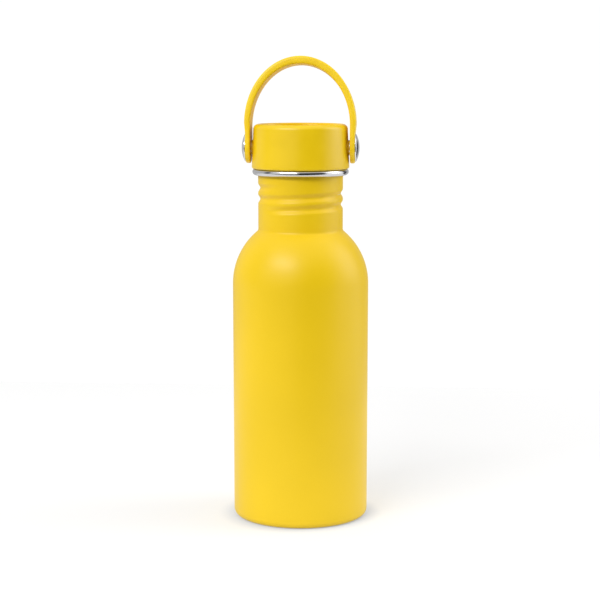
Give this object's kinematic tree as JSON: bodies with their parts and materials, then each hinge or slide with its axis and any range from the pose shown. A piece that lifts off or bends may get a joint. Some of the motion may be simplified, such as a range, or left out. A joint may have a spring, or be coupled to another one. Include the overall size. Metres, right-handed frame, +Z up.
{
  "type": "water bottle",
  "caption": "Single-wall steel water bottle with a threaded neck, a screw cap and a swinging carry loop pinned to the cap.",
  "frame": {"origin": "centre of the ring that the bottle stands on, in the plane of the table", "axes": "+Z up along the bottle's axis, X along the carry loop's pivot axis, -Y towards the front; the loop leans towards +Y at rest"},
  "size_m": [0.07, 0.07, 0.2381],
  "materials": {
    "coated_steel": "satin powder coat with a fine grain",
    "steel": "polished stainless steel",
    "cap_plastic": "satin moulded polypropylene",
    "plug_plastic": "natural polypropylene, smooth",
    "loop_plastic": "satin flexible plastic",
    "silicone": "translucent white silicone"
  },
  "bodies": {
    "bottle": {"bottle_shell": "coated_steel", "base_cup": "coated_steel"},
    "seal": {"seal_ring": "silicone"},
    "cap": {"cap_shell": "cap_plastic", "cap_plug": "plug_plastic", "left_pivot_pin": "steel", "right_pivot_pin": "steel", "left_lock_nut": "steel", "right_lock_nut": "steel", "left_washer": "steel", "right_washer": "steel"},
    "loop": {"carry_loop": "loop_plastic", "left_bush": "steel", "right_bush": "steel"}
  },
  "joints": [
    {"name": "cap_lift", "type": "slide", "parent": "bottle", "child": "seal", "axis": [0, 0, 1], "range_m": [0, 0.028]},
    {"name": "cap_turn", "type": "hinge", "parent": "seal", "child": "cap", "pos_m": [0, 0, 0.19], "axis": [0, 0, 1], "range_deg": [0, 1800]},
    {"name": "loop_swing", "type": "hinge", "parent": "cap", "child": "loop", "pos_m": [0, 0, 0.19187], "axis": [1, 0, 0], "range_deg": [-134, 143]}
  ],
  "couplings": [
    {"joint": "cap_lift", "follows": "cap_turn", "m_per_rad": 0.00089127}
  ]
}
